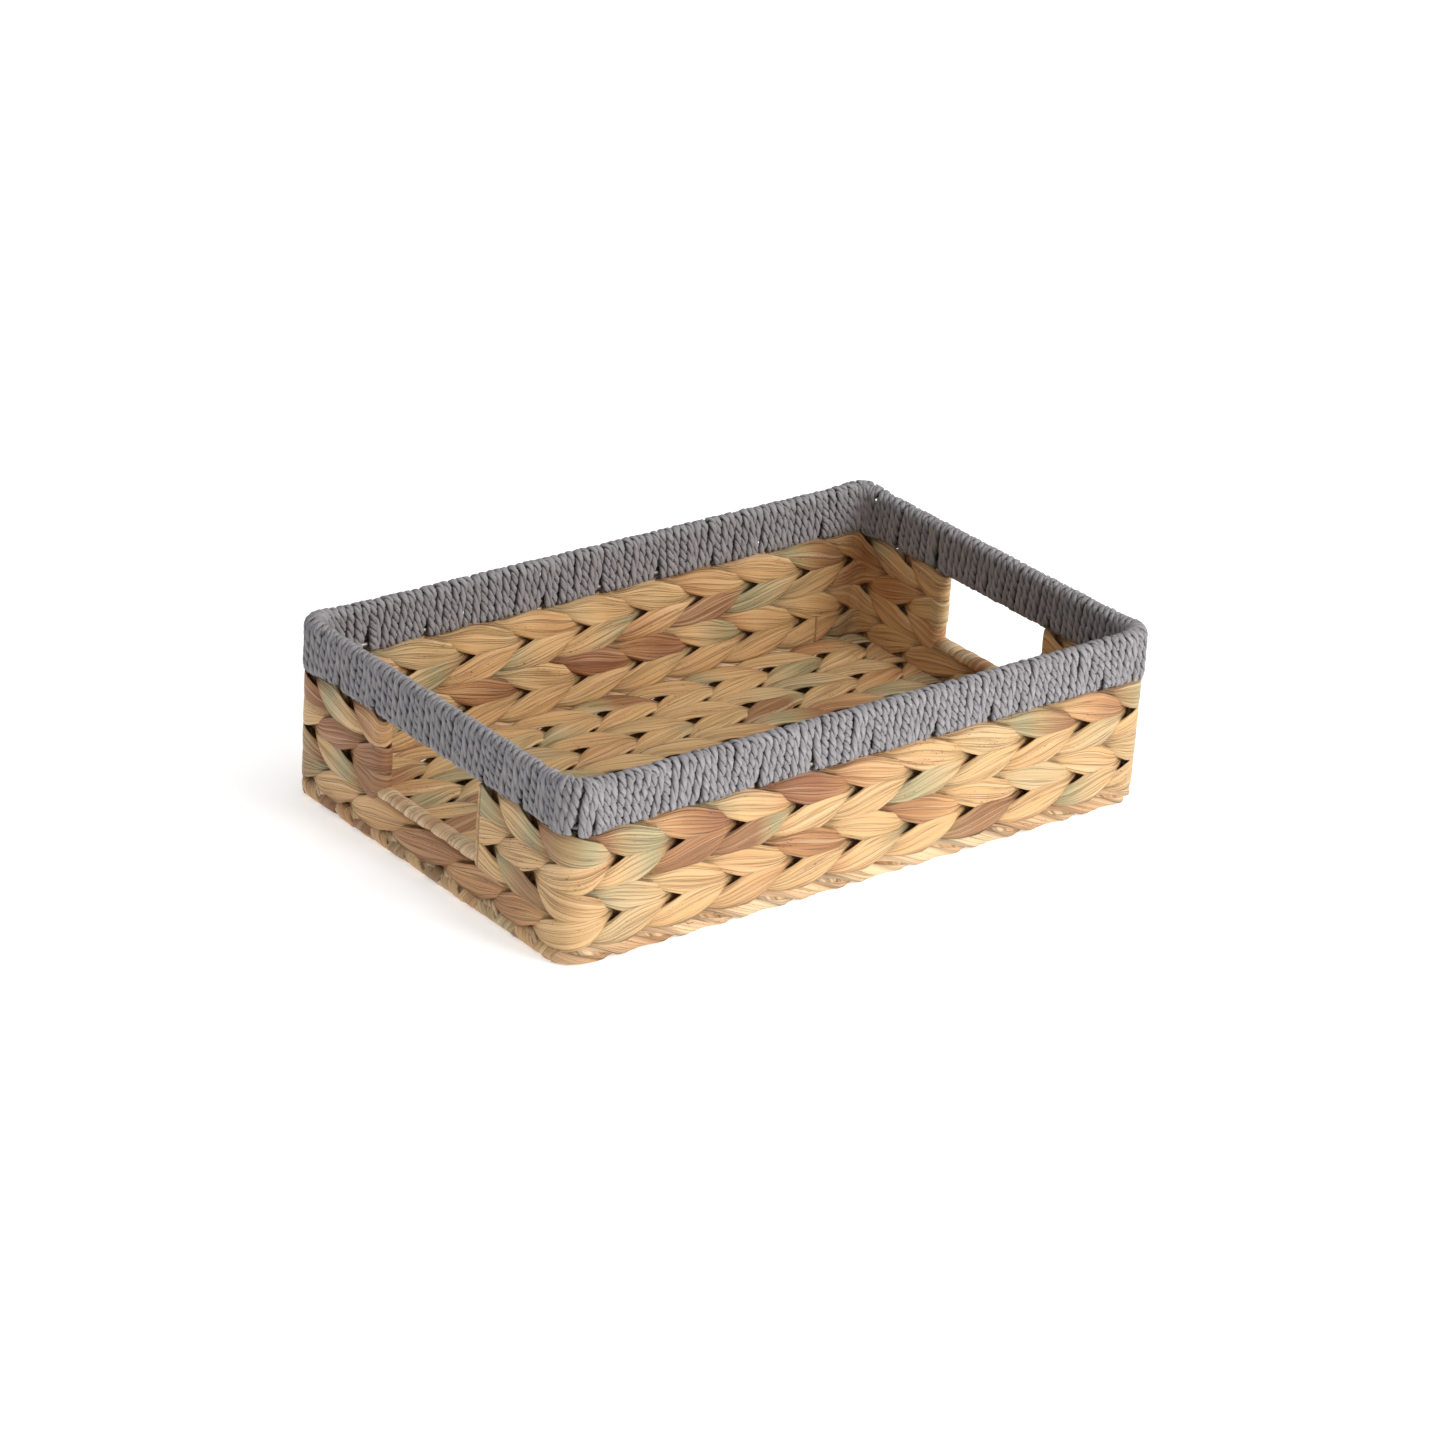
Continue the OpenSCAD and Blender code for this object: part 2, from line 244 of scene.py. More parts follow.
# Stems of water hyacinth, dried in the sun, flattened and woven. Fibres and creases run along each strip,
# with a dull gleam, and the colour goes from straw to red-brown and grey-green from stem to stem. Real fibres
# are about 0.2 mm apart, which is too fine to show, so they are drawn coarser.
@dataclass(frozen=True)
class HyacinthStrip(Finish):
    """Sun-dried and flattened water hyacinth stem, woven."""

    name: str = "sun_dried_water_hyacinth_woven"
    shades: tuple = ((0.0, "#9A6440"), (0.14, "#B37E4F"), (0.27, "#CD9A66"), (0.42, "#DAAE78"),
                     (0.58, "#DCB37C"), (0.72, "#C9AE80"), (0.83, "#ADA177"), (0.92, "#B49566"),
                     (1.0, "#A3734B"))
    stain: str = "#96573A"
    # pale is the colour of lighter fibre streaks and of a painted highlight; dark is that of specks, darker
    # fibre streaks and painted shade.
    pale: str = "#F3DDBB"
    dark: str = "#4E2F1A"
    fibre_mm: float = 0.8
    crease_mm: float = 2.6
    fibre_run_mm: float = 110.0
    spot_mm: float = 0.9

    def dress(self, tree: bpy.types.NodeTree) -> None:
        """Colour by stem, fibre streaks along it, stains and specks, and a bump of fibres and creases.
        Painted shade darkens the crease lines and the strips' edges and seams, and a painted highlight pales
        the broad bands.

        Args:
            tree: the material's tree.
        """
        stem = add(tree, "ShaderNodeAttribute", attribute_name="stem").outputs["Fac"]
        rim = add(tree, "ShaderNodeAttribute", attribute_name="edge").outputs["Fac"]
        ramp = add(tree, "ShaderNodeValToRGB", {"Fac": stem})
        band = ramp.color_ramp
        band.elements[0].position, band.elements[0].color = self.shades[0][0], linear(self.shades[0][1])
        band.elements[1].position, band.elements[1].color = self.shades[-1][0], linear(self.shades[-1][1])
        for place, shade in self.shades[1:-1]:
            band.elements.new(place).color = linear(shade)

        streak = self.grain(tree, self.fibre_mm, self.fibre_run_mm, 4.0)
        broad = self.grain(tree, self.crease_mm, self.fibre_run_mm * 1.4, 2.0)
        cloud = self.grain(tree, self.crease_mm * 3.5, self.fibre_run_mm * 0.5, 2.0)
        spots = self.grain(tree, self.spot_mm, self.spot_mm * 2.2, 1.0)
        sums = Arithmetic(tree, streak=streak, broad=broad, cloud=cloud, spots=spots, rim=rim)
        sums.let(
            # seam marks thin crease lines; darkening them below is painted shade.
            seam="max(1 - abs(broad - 0.5) * 26, 0) * min(max((streak - 0.35) * 5, 0), 1)",
            # Lighter fibre streaks, plus a painted highlight along the high bands of the broad crease noise.
            paling="min(max((broad - 0.54) * 4, 0), 1) * 0.35 + min(max((streak - 0.52) * 4, 0), 1) * 0.45",
            staining="min(max((cloud - 0.58) * 5, 0), 1) * 0.5",
            specks="min(max((spots - 0.64) * 12, 0), 1) * min(max((cloud - 0.5) * 8, 0), 1) * 0.8",
            # Darker fibre streaks, plus painted shade in the crease lines and along the strip's edges and the
            # seams between rows.
            dulling="min(max((0.46 - streak) * 4.5, 0), 1) * 0.42 + seam * 0.5 + max(rim - 0.75, 0) * 1.7",
            rough="0.5 + (streak - 0.5) * 0.5",
            relief="streak * 0.8 + broad * 0.9 + spots * 0.15 - seam * 0.6",
        )
        colour = self.tint(sums, ramp.outputs["Color"], {"paling": self.pale, "staining": self.stain,
                                                         "specks": self.dark, "dulling": self.dark})
        self.coat(tree, (sums["relief"], 0.9, 0.9 * MM),
                  {"Base Color": colour, "Roughness": sums["rough"], "IOR": 1.45})


# The stem's thin outer skin, peeled off and wound. It is paler, more even and hardly stained.
@dataclass(frozen=True)
class PaleHyacinth(HyacinthStrip):
    """Peeled skin of the water hyacinth stem, wound round wires."""

    name: str = "peeled_water_hyacinth_skin_wound"
    shades: tuple = ((0.0, "#BE9064"), (0.3, "#D8B084"), (0.55, "#E8C69B"), (0.8, "#E2CAA4"),
                     (1.0, "#CBB08A"))
    stain: str = "#A8744F"


# Crepe paper, dyed grey and twisted into a two-ply cord. It is quite matt, so it shows by its wrinkles, which
# run along each ply, with a painted highlight on top and painted shade in the folds. They are drawn coarser
# than real ones to show.
@dataclass(frozen=True)
class PaperCord(Finish):
    """Two-ply cord twisted from dyed crepe paper."""

    name: str = "twisted_crepe_paper_cord_dyed_grey"
    body: str = "#979497"
    # The grey of the painted highlight on the wrinkles' tops and of the lighter patches, then the grey of the
    # painted shade in the folds.
    highlight_and_patch_grey: str = "#BBB7B9"
    deep: str = "#5C5A5F"
    wrinkle_mm: float = 0.5
    wrinkle_run_mm: float = 5.0
    patch_mm: float = 10 / 3
    patch_run_mm: float = 50.0

    def dress(self, tree: bpy.types.NodeTree) -> None:
        """Grey with wrinkles along the plies, a painted highlight where they stand up, painted shade in the
        folds, and patches of lighter and darker grey.

        Args:
            tree: the material's tree.
        """
        wrinkle = self.grain(tree, self.wrinkle_mm, self.wrinkle_run_mm, 3.0, roughness=0.5)
        patch = self.grain(tree, self.patch_mm, self.patch_run_mm, 1.0, roughness=0.5)
        sums = Arithmetic(tree, wrinkle=wrinkle, patch=patch)
        # The first sum paints a highlight on the wrinkles' tops, mixed with patches of lighter and darker
        # grey; the second paints shade in the folds.
        sums.let(lit="min(max((wrinkle - 0.48) * 3.5, 0), 1) * 0.55 + (patch - 0.4) * 0.4",
                 shut="min(max((0.48 - wrinkle) * 4, 0), 1) * 0.6")
        colour = self.tint(sums, linear(self.body), {"lit": self.highlight_and_patch_grey, "shut": self.deep})
        self.coat(tree, (wrinkle, 0.8, 0.6 * MM), {"Base Color": colour, "Roughness": 0.88, "IOR": 1.4})


# Mild steel drawn cold through a die. It has a dull metal gleam, broken by browner patches of scale.
@dataclass(frozen=True)
class DrawnWire(Finish):
    """Cold-drawn mild steel wire."""

    name: str = "cold_drawn_mild_steel_wire"
    body: str = "#8C8A86"
    scale: str = "#5E5852"
    patch_mm: float = 6.0

    def dress(self, tree: bpy.types.NodeTree) -> None:
        """Metal whose colour and roughness change with patches of scale.

        Args:
            tree: the material's tree.
        """
        place = add(tree, "ShaderNodeTexCoord").outputs["Object"]
        patch = add(tree, "ShaderNodeTexNoise",
                    {"Vector": place, "Scale": 1 / (self.patch_mm * MM), "Detail": 4.0}).outputs[0]
        sums = Arithmetic(tree, patch=patch)
        sums.let(cover="min(max((patch - 0.45) * 4, 0), 1)", rough="0.32 + patch * 0.3")
        colour = self.tint(sums, linear(self.body), {"cover": self.scale})
        self.coat(tree, (patch, 0.3, 0.05 * MM),
                  {"Base Color": colour, "Metallic": 1.0, "Roughness": sums["rough"]})


# White paper, pressed and lit from below. It is matt and even; its tooth is drawn coarser than real paper's.
@dataclass(frozen=True)
class StudioPaper(Finish):
    """White background paper with a faint tooth."""

    name: str = "white_background_paper"
    body: str = "#FAFAFA"
    glow: float = 0.45
    tooth_mm: float = 1.11

    def dress(self, tree: bpy.types.NodeTree) -> None:
        """Matt white with an even glow through the paper.

        Args:
            tree: the material's tree.
        """
        place = add(tree, "ShaderNodeTexCoord").outputs["Object"]
        tooth = add(tree, "ShaderNodeTexNoise",
                    {"Vector": place, "Scale": 1 / (self.tooth_mm * MM)}).outputs[0]
        self.coat(tree, (tooth, 0.05, 0.1 * MM),
                  {"Base Color": linear(self.body), "Roughness": 0.9,
                   "Emission Color": linear(self.body), "Emission Strength": self.glow})


# ---------------------------------------------------------------- guides: the lines that strips follow


def run_along(points: np.ndarray) -> np.ndarray:
    """Length from a line's start to each of its points."""
    return np.concatenate([[0.0], np.cumsum(np.linalg.norm(np.diff(points, axis=0), axis=1))])


@dataclass
class Guide:
    """The line that one strip follows, with the way it faces and how far it has turned about its row."""

    points: np.ndarray
    outward: np.ndarray
    up: np.ndarray
    turn: np.ndarray
    strand: float
    closed: bool = False
    girth: np.ndarray | float = 1.0
    puff: np.ndarray | float = 1.0

    @property
    def along(self) -> np.ndarray:
        """Length from the guide's start to each point."""
        return run_along(self.points)


def joined(parts: list[tuple]) -> list[np.ndarray]:
    """Join stretches of a guide end to end.

    Args:
        parts: for each stretch, its arrays in one fixed order.

    Returns:
        One array for each place in that order.
    """
    return [np.concatenate([p[i] for p in parts]) for i in range(len(parts[0]))]


@dataclass
class Outline:
    """The rounded rectangle that the walls and both rims follow; its length starts at the front's middle."""

    half_x: float
    half_y: float
    corner_r: float
    fine: float = 0.25 * MM

    def __post_init__(self) -> None:
        """Lay the line out in small steps, anticlockwise from above."""
        self.flat_x, self.flat_y = self.half_x - self.corner_r, self.half_y - self.corner_r
        self.arc = self.corner_r * math.pi / 2
        corners = [(self.flat_x, -self.flat_y), (self.flat_x, self.flat_y), (-self.flat_x, self.flat_y),
                   (-self.flat_x, -self.flat_y)]
        angles = np.linspace(0, math.pi / 2, int(self.arc / self.fine))
        points, normals = [np.array([[0.0, -self.half_y]])], [np.array([[0.0, -1.0]])]
        for quarter, corner in enumerate(corners):
            lie = angles + (quarter - 1) * math.pi / 2
            ray = np.stack([np.cos(lie), np.sin(lie)], 1)
            points.append(np.array(corner) + self.corner_r * ray)
            normals.append(ray)
        points.append(points[0])
        normals.append(normals[0])
        self.points, self.normals = np.concatenate(points), np.concatenate(normals)
        self.marks = run_along(self.points)
        self.length = float(self.marks[-1])

    def at(self, places: np.ndarray) -> tuple[np.ndarray, np.ndarray]:
        """Points on the line and the way it faces there.

        Args:
            places: lengths along the line, which may run past its start or end.

        Returns:
            Points and outward unit vectors, level with z at 0.
        """
        wrapped = np.mod(places, self.length)
        grid = [np.interp(wrapped, self.marks, a) for a in (*self.points.T, *self.normals.T)]
        zero = np.zeros_like(wrapped)
        points, normals = np.stack([grid[0], grid[1], zero], 1), np.stack([grid[2], grid[3], zero], 1)
        return points, normals / np.linalg.norm(normals, axis=1, keepdims=True)

    def past(self, places: np.ndarray, stop: float) -> np.ndarray:
        """How far places lie past a stop, taken the shorter way round."""
        return np.mod(places - stop + self.length / 2, self.length) - self.length / 2

    def right(self, y: float) -> float:
        """Length to a place on the right wall."""
        return self.flat_x + self.arc + self.flat_y + y

    def left(self, y: float) -> float:
        """Length to a place on the left wall."""
        return self.right(0) + self.length / 2 - y

    def corner(self, number: int) -> float:
        """Length to the middle of a corner: 0 front right, 1 back right, 2 back left, 3 front left.

        Args:
            number: which corner.

        Returns:
            Its length along the outline.
        """
        first = self.flat_x + self.arc / 2
        second = self.length / 2 - first
        return [first, second, self.length - second, self.length - first][number]


def steps_between(start: float, end: float, step: float) -> np.ndarray:
    """Even places from a start to an end, the end left out."""
    count = max(2, int(round(abs(end - start) / step)))
    return np.linspace(start, end, count, endpoint=False)


def half_turns(places: np.ndarray, stops: np.ndarray, first: float) -> np.ndarray:
    """How many half turns a strip has made by each place.

    Args:
        places: lengths along its row.
        stops: lengths at which it passes a wire, rising or falling.
        first: half turns made by the first stop; each later stop adds one.

    Returns:
        Half turns, one number for each place.
    """
    order = np.argsort(stops)
    return first + np.interp(places, stops[order], order.astype(float))


def stack(*columns: np.ndarray | float) -> np.ndarray:
    """Columns of numbers as one array of vectors."""
    return np.stack(np.broadcast_arrays(*columns), 1).astype(float)


# ---------------------------------------------------------------- strip trees


class Section(Enum):
    """How many sides a strip's section is drawn with."""

    WEAVER = 20
    WRAP = 12
    PLY = 8


class FirstStrand(Enum):
    """The number that each part's strips are counted from, so that no two share their grain and colour."""

    WALL_RING = 20.0
    BASE = 30.0
    FRONT_EDGE = 50.0
    BACK_EDGE = 53.0
    SIDE_EDGE = 56.0
    SLEEVE = 70.0
    GRIP = 90.0
    CORD = 100.0
    UNDERWRAP = 110.0


@dataclass
class Strip:
    """Geometry Nodes tree that sweeps strips along guides; each kind bends them its own way."""

    name: str
    finish: Finish

    section = Section.WEAVER
    inside_out = False
    READS = {"FLOAT": ("turn", "strand", "along", "around", "girth", "puff"),
             "FLOAT_VECTOR": ("outward", "up", "centre")}
    KEEPS = {"FLOAT": ("stem", "edge"), "FLOAT_VECTOR": ("fibre",)}

    def sizes(self) -> dict[str, float]:
        """The strip's sizes by name, one for each input of its tree."""
        names = [f.name for f in fields(self) if f.name not in ("name", "finish", "section")]
        return {name: getattr(self, name) for name in names}

    def bend(self, sums: Arithmetic) -> None:
        """Work out where each corner goes, as spot, with its stem, edge and fibre."""
        raise NotImplementedError

    def tree(self) -> bpy.types.NodeTree:
        """Build the tree: sweep a ring along every guide, then put each corner where the bend takes it.

        Returns:
            The node group, with one named input for each size.
        """
        tree = bpy.data.node_groups.new("strips_" + self.name, "GeometryNodeTree")
        face = tree.interface
        face.new_socket("Geometry", in_out="INPUT", socket_type="NodeSocketGeometry")
        for size in self.sizes():
            face.new_socket(size, in_out="INPUT", socket_type="NodeSocketFloat")
        face.new_socket("Geometry", in_out="OUTPUT", socket_type="NodeSocketGeometry")
        entry = add(tree, "NodeGroupInput")
        line = add(tree, "GeometryNodeMeshToCurve", {0: entry.outputs["Geometry"]}).outputs[0]
        ring = add(tree, "GeometryNodeCurvePrimitiveCircle",
                   {"Resolution": self.section.value, "Radius": MM}, mode="RADIUS").outputs[0]
        corner = Arithmetic(tree, number=add(tree, "GeometryNodeInputIndex").outputs[0])
        corner.let(around=f"number * {2 * math.pi / self.section.value}")
        place = add(tree, "GeometryNodeInputPosition").outputs[0]
        swept = [add(tree, "GeometryNodeStoreNamedAttribute",
                     {"Geometry": bare, "Name": name, "Value": value},
                     data_type=kind, domain="POINT").outputs[0]
                 for bare, name, value, kind in ((line, "centre", place, "FLOAT_VECTOR"),
                                                 (ring, "around", corner["around"], "FLOAT"))]
        body = add(tree, "GeometryNodeCurveToMesh",
                   {"Curve": swept[0], "Profile Curve": swept[1], "Fill Caps": True}).outputs[0]
        known = {name: add(tree, "GeometryNodeInputNamedAttribute", {"Name": name}, data_type=kind).outputs[0]
                 for kind, names in self.READS.items() for name in names}
        sums = Arithmetic(tree, **known, **{size: entry.outputs[size] for size in self.sizes()})
        self.bend(sums)
        for kind, names in self.KEEPS.items():
            for name in names:
                body = add(tree, "GeometryNodeStoreNamedAttribute",
                           {"Geometry": body, "Name": name, "Value": sums[name]},
                           data_type=kind, domain="POINT").outputs[0]
        body = add(tree, "GeometryNodeSetPosition", {"Geometry": body, "Position": sums["spot"]}).outputs[0]
        if self.inside_out:
            body = add(tree, "GeometryNodeFlipFaces", {0: body}).outputs[0]
        body = add(tree, "GeometryNodeSetShadeSmooth", {0: body, "Shade Smooth": True}).outputs[0]
        body = add(tree, "GeometryNodeRealizeInstances", {0: body}).outputs[0]
        body = add(tree, "GeometryNodeSetMaterial", {0: body, "Material": self.finish.build()}).outputs[0]
        add(tree, "NodeGroupOutput", {0: body})
        return tree

    def draw(self, piece: str, guides: list[Guide], slot: str, replaced: list[str]) -> bpy.types.Object:
        """Draw one piece from its guides and stand it in for its CAD nodes.

        Args:
            piece: the piece's name.
            guides: the lines that its strips follow.
            slot: the name of a material slot; not used.
            replaced: the CAD nodes that it stands for.

        Returns:
            The finished piece, a plain mesh at the origin.
        """
        return finished(piece, guide_mesh(piece, guides), self.tree(), self.sizes(), replaced)


@dataclass
class TwinedStrip(Strip):
    """Strips that turn about their row: leaves between the wires of a weave, or the plies of a rope.

    A leaf's outer half is shaped for the side that faces out, and its inner half for the side that faces in.
    Leaf is 1 for a weave and 0 for a rope. Tip is the turn at which a leaf stands highest, lens the one at
    which it ends, and behind the share of its width that it has where it passes behind a wire.
    """

    wide: float
    narrow: float
    thin: float
    thick: float
    reach: float
    climb: float
    depth: float
    roll: float = 1.0
    sway: float = 0.0
    leaf: float = 0.0
    tip: float = 2.6
    lens: float = 2.12
    behind: float = 0.5
    # Seam is how far from a row's middle the edge value reaches 1; the material paints shade where it is
    # high.
    seam: float = 50 * MM
    box: float = 1.0
    section: Section = Section.WEAVER
    vary: float = 0.12
    wander: float = 0.5 * MM
    crease: float = 0.8 * MM
    crease_mm: float = 3.4
    crease_run_mm: float = 80.0
    hue_run: float = 0.22
    hue_spread: float = 2.0
    hue_middle: float = 0.5
    seed: float = 0.0

    inside_out = True

    def bend(self, sums: Arithmetic) -> None:
        """Turn each corner about its row, shape the leaves there, and keep all of it above the floor.

        Args:
            sums: the tree's sums, which know each corner's guide and the strip's sizes.
        """
        sums.names.update(floor_lift=FLOOR_LIFT, floor_give=FLOOR_GIVE)
        sums.let(
            beat=f"abs(turn) / {math.pi}", fuller="noise(beat * 0.5 + strand * 7.31 + seed)",
            shift="noise(beat * 0.43 + strand * 3.77 + seed + 50)",
            lean="noise(beat * 0.7 + strand * 5.19 + seed + 90)",
            hue="noise(beat * hue_run + strand * 11.7 + seed + 140)",
            side="sign(sin(around)) * abs(sin(around)) ** box", face="cos(around)",
            shown="min(max(0.5 + face * 1.2, 0), 1)", rest=f"{math.pi} - tip")
        for view, way in (("front", 1), ("rear", -1)):
            sums.let(**{view: f"atan2(sin(turn) * {way}, cos(turn) * {way})"})
            away = f"abs({view})"
            sums.let(**{
                f"rise_{view}": f"sign({view}) * min({away}, ({math.pi} - {away}) * tip / rest)",
                f"blade_{view}": f"max(cos(min({away}, lens) / lens * {math.pi / 2}), 0)"
                                 f" + min(max(({away} - lens) / 0.6, 0), 1) * behind"})
        sums.let(
            mount=f"sin(turn) * (1 - leaf)"
                  f" + (rise_front * shown - rise_rear * (1 - shown)) * leaf * {2 / math.pi}",
            blade="1 - leaf + leaf * (blade_front * shown + blade_rear * (1 - shown))",
            half_w="(narrow + (wide - narrow) * blade) * (1 + (fuller - 0.5) * 2 * vary) * girth",
            half_t="(thin + (thick - thin) * sin(turn) ** 2) * (1 - (fuller - 0.5) * 1.2 * vary) * puff",
            tilt="turn * roll + sin(turn * 2) * sway",
            across="half_w * side", spread="wide * side * 0.85",
            wrinkle="noise(vector(along * 1000 / crease_run_mm, spread * 1000 / crease_mm,"
                    " strand * 3.1 + face * 0.6))",
            rise="half_t * sign(face) * abs(face) ** box"
                 " + (wrinkle - 0.5) * 2 * crease * (1 - side * side) * face",
            out_far="reach * cos(turn) + rise * cos(tilt) - across * sin(tilt) + (shift - 0.5) * wander",
            up_far="climb * mount + rise * sin(tilt) + across * cos(tilt) + (lean - 0.5) * 2 * wander",
            out_near="out_far / (1 + (abs(out_far) / depth) ** 4) ** 0.25",
            free="centre + outward * out_near + up * up_far",
            spot="max(free, free * vector(1, 1, floor_give) + vector(0, 0, floor_lift))",
            stem="hue_middle + (hue - 0.5) * hue_spread",
            # edge is near 1 at the strip's sides and where it meets the next row; the material paints shade
            # there.
            edge="max(abs(side), min(abs(climb * mount + across) / seam, 1))",
            fibre="vector(along * 1000, spread * 1000 + face * 2, strand * 13.7 + seed)")


@dataclass
class WoundStrip(Strip):
    """A flat strip wound round a straight bar, each turn lapping the last."""

    bar_r: float
    half_w: float
    half_t: float
    slope: float
    lap: float = 0.9 * MM
    uneven: float = 0.6 * MM
    seed: float = 3.0

    def bend(self, sums: Arithmetic) -> None:
        """Wrap each corner round the bar, with one edge proud of the turn before.

        Args:
            sums: the tree's sums, which know each corner's guide and the strip's sizes.
        """
        sums.let(
            travel="cross(up, outward)", fuller="noise(turn * 0.35 + strand * 7.3 + seed)",
            hue="noise(turn * 0.16 + strand * 4.1 + seed)", side="sin(around)", face="cos(around)",
            across="half_w * side * (1 + (fuller - 0.5) * 0.5)",
            angle="turn - across * sin(slope) / bar_r",
            reach="bar_r + half_t * face * (1 - side * side * 0.6) + lap * side * 0.5"
                  " + (fuller - 0.5) * uneven",
            spot="centre + travel * (across * cos(slope))"
                 " + outward * (reach * cos(angle)) + up * (reach * sin(angle))",
            # edge is near 1 at the strip's sides, where the material paints shade.
            stem="0.5 + (hue - 0.5) * 2.2", edge="abs(side)",
            fibre="vector(turn * bar_r / cos(slope) * 1000, across * 1000, strand * 5.3 + seed)")


def placed(name: str, data: bpy.types.ID) -> bpy.types.Object:
    """Put a mesh, a light or a camera into the scene.

    Args:
        name: the object's name.
        data: what it shows.

    Returns:
        The new object.
    """
    made = bpy.data.objects.new(name, data)
    bpy.context.scene.collection.objects.link(made)
    return made


def guide_mesh(piece: str, guides: list[Guide]) -> bpy.types.Object:
    """Make a mesh of bare edges from guides, with what each point knows as attributes.

    Args:
        piece: the name of the piece that it is for.
        guides: the guides, kept apart from each other.

    Returns:
        The object that holds the mesh.
    """
    mesh = bpy.data.meshes.new(piece)
    edges, first = [], 0
    for guide in guides:
        count = len(guide.points)
        edges += [(first + i, first + i + 1) for i in range(count - 1)]
        if guide.closed:
            edges.append((first + count - 1, first))
        first += count
    mesh.from_pydata([tuple(p) for g in guides for p in g.points], edges, [])
    for name in ("outward", "up"):
        values = np.concatenate([getattr(g, name) for g in guides]).astype(np.float32)
        mesh.attributes.new(name, "FLOAT_VECTOR", "POINT").data.foreach_set("vector", values.ravel())
    for name in ("turn", "along", "strand", "girth", "puff"):
        values = np.concatenate([np.broadcast_to(getattr(g, name), len(g.points)) for g in guides])
        mesh.attributes.new(name, "FLOAT", "POINT").data.foreach_set("value", values.astype(np.float32))
    return placed(piece + "_guides", mesh)


def finished(piece: str, lines: bpy.types.Object, tree: bpy.types.NodeTree, sizes: dict[str, float],
             replaced: list[str]) -> bpy.types.Object:
    """Run a tree on guides and keep its result as a plain mesh that rides on the basket.

    Args:
        piece: the piece's name.
        lines: the object that holds the guides; it is removed.
        tree: the node group.
        sizes: the value of each named input.
        replaced: the CAD nodes that the piece stands for.

    Returns:
        The finished piece.
    """
    modifier = lines.modifiers.new("weave", "NODES")
    modifier.node_group = tree
    for item in tree.interface.items_tree:
        if item.in_out == "INPUT" and item.name in sizes:
            modifier[item.identifier] = float(sizes[item.name])
    graph = bpy.context.evaluated_depsgraph_get()
    graph.update()
    mesh = bpy.data.meshes.new_from_object(lines.evaluated_get(graph), preserve_all_data_layers=True,
                                           depsgraph=graph)
    for spare in (name for names in Strip.READS.values() for name in names):
        if spare in mesh.attributes:
            mesh.attributes.remove(mesh.attributes[spare])
    mesh.name = piece
    made = placed(piece, mesh)
    old = lines.data
    bpy.data.objects.remove(lines)
    bpy.data.meshes.remove(old)
    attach(made, ROOT)
    if replaced:
        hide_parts(*replaced)
    faces = np.zeros(len(mesh.polygons), np.int32)
    mesh.polygons.foreach_get("loop_total", faces)
    LOG.info("%s: %d triangles", piece, int((faces - 2).sum()))
    return made


# ---------------------------------------------------------------- the basket's sub-assemblies


@dataclass
class WireFrame:
    """The steel wires, kept as the CAD made them, and where they run."""

    stake_pitch: float = 38 * MM
    stakes: int = 9
    post_y: float = 47 * MM
    outer_stake_y: float = 80.29 * MM
    corner_r: float = 10 * MM
    names: tuple = ("rim_upper_wire", "rim_lower_wire", "rim_spacers", "base_wire", "base_cross_wires",
                    "corner_posts", "front_stakes", "back_stakes", "left_stakes", "right_stakes",
                    "opening_posts", "left_grip_wire", "right_grip_wire")

    def __post_init__(self) -> None:
        """Read the wires' places from the CAD."""
        low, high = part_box("base_wire")
        self.wire_r = (high.z - low.z) / 2
        self.base_z = (high.z + low.z) / 2
        self.outline = Outline(high.x - self.wire_r, high.y - self.wire_r, self.corner_r)
        self.rim_low_z = sum(p.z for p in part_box("rim_lower_wire")) / 2
        self.rim_high_z = sum(p.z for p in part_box("rim_upper_wire")) / 2
        self.grip_z = sum(p.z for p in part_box("left_grip_wire")) / 2
        self.cross_z = sum(p.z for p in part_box("base_cross_wires")) / 2
        low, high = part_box("base_cross_wires")
        stake_r = (high.z - low.z) / 2
        self.cross_x = np.linspace(low.x + stake_r, high.x - stake_r, self.stakes)
        self.stake_x = (np.arange(self.stakes) - (self.stakes - 1) / 2) * self.stake_pitch

    def dress(self) -> None:
        """Give every wire its steel finish."""
        steel = DrawnWire().build()
        for name in self.names:
            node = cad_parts[name]
            node.data.materials.clear()
            node.data.materials.append(steel)
        LOG.info("wires: %d CAD nodes in drawn steel", len(self.names))

    def half_stops(self, back: bool) -> np.ndarray:
        """Where a row that ends at the hand openings passes wires, from one opening post to the other.

        Args:
            back: the back half of the basket instead of the front half.

        Returns:
            Lengths along the outline, rising.
        """
        line = self.outline
        start = [-line.right(-self.post_y), -line.right(-self.outer_stake_y), -line.corner(0)]
        stops = np.array(start + list(self.stake_x) + [-v for v in start[::-1]])
        return stops + line.length / 2 if back else stops

    def ring_stops(self) -> np.ndarray:
        """Where a row that runs right round passes wires, from the first stake of the back wall.

        Returns:
            Lengths along the outline, rising.
        """
        line = self.outline
        side = np.array([-self.outer_stake_y, -self.post_y, 0.0, self.post_y, self.outer_stake_y])
        half = np.array([*self.stake_x, line.corner(0), *(line.right(y) for y in side), line.corner(1)])
        return np.concatenate([half + line.length / 2, half + line.length])


